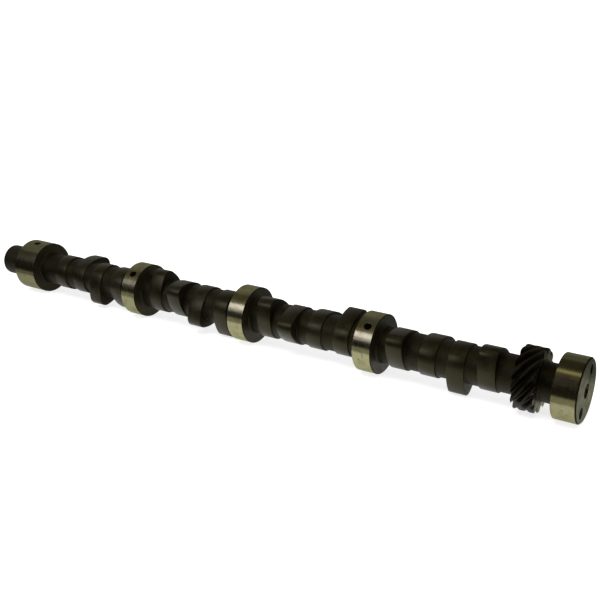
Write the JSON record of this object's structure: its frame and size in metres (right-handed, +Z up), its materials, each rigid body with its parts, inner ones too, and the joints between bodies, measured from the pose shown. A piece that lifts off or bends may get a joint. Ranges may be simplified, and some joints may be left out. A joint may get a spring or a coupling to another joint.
{
  "type": "camshaft",
  "caption": "One-piece cast iron camshaft of a V8 engine, with ground journals, cam lobes, a helical drive gear, a plain nose and a drilled end face.",
  "frame": {"origin": "centre of the flat machined face at the gear end, on the shaft's axis", "axes": "+X along the shaft's axis, out of the flat end face; the nose points to -X; +Z up, with the shaft lying on its journals"},
  "size_m": [0.6175, 0.0508, 0.0508],
  "materials": {
    "ground_cast_iron": "journals ground bright, lobes, core and gear with a dark phosphate coat"
  },
  "bodies": {
    "root": {"camshaft": "ground_cast_iron"}
  },
  "joints": []
}
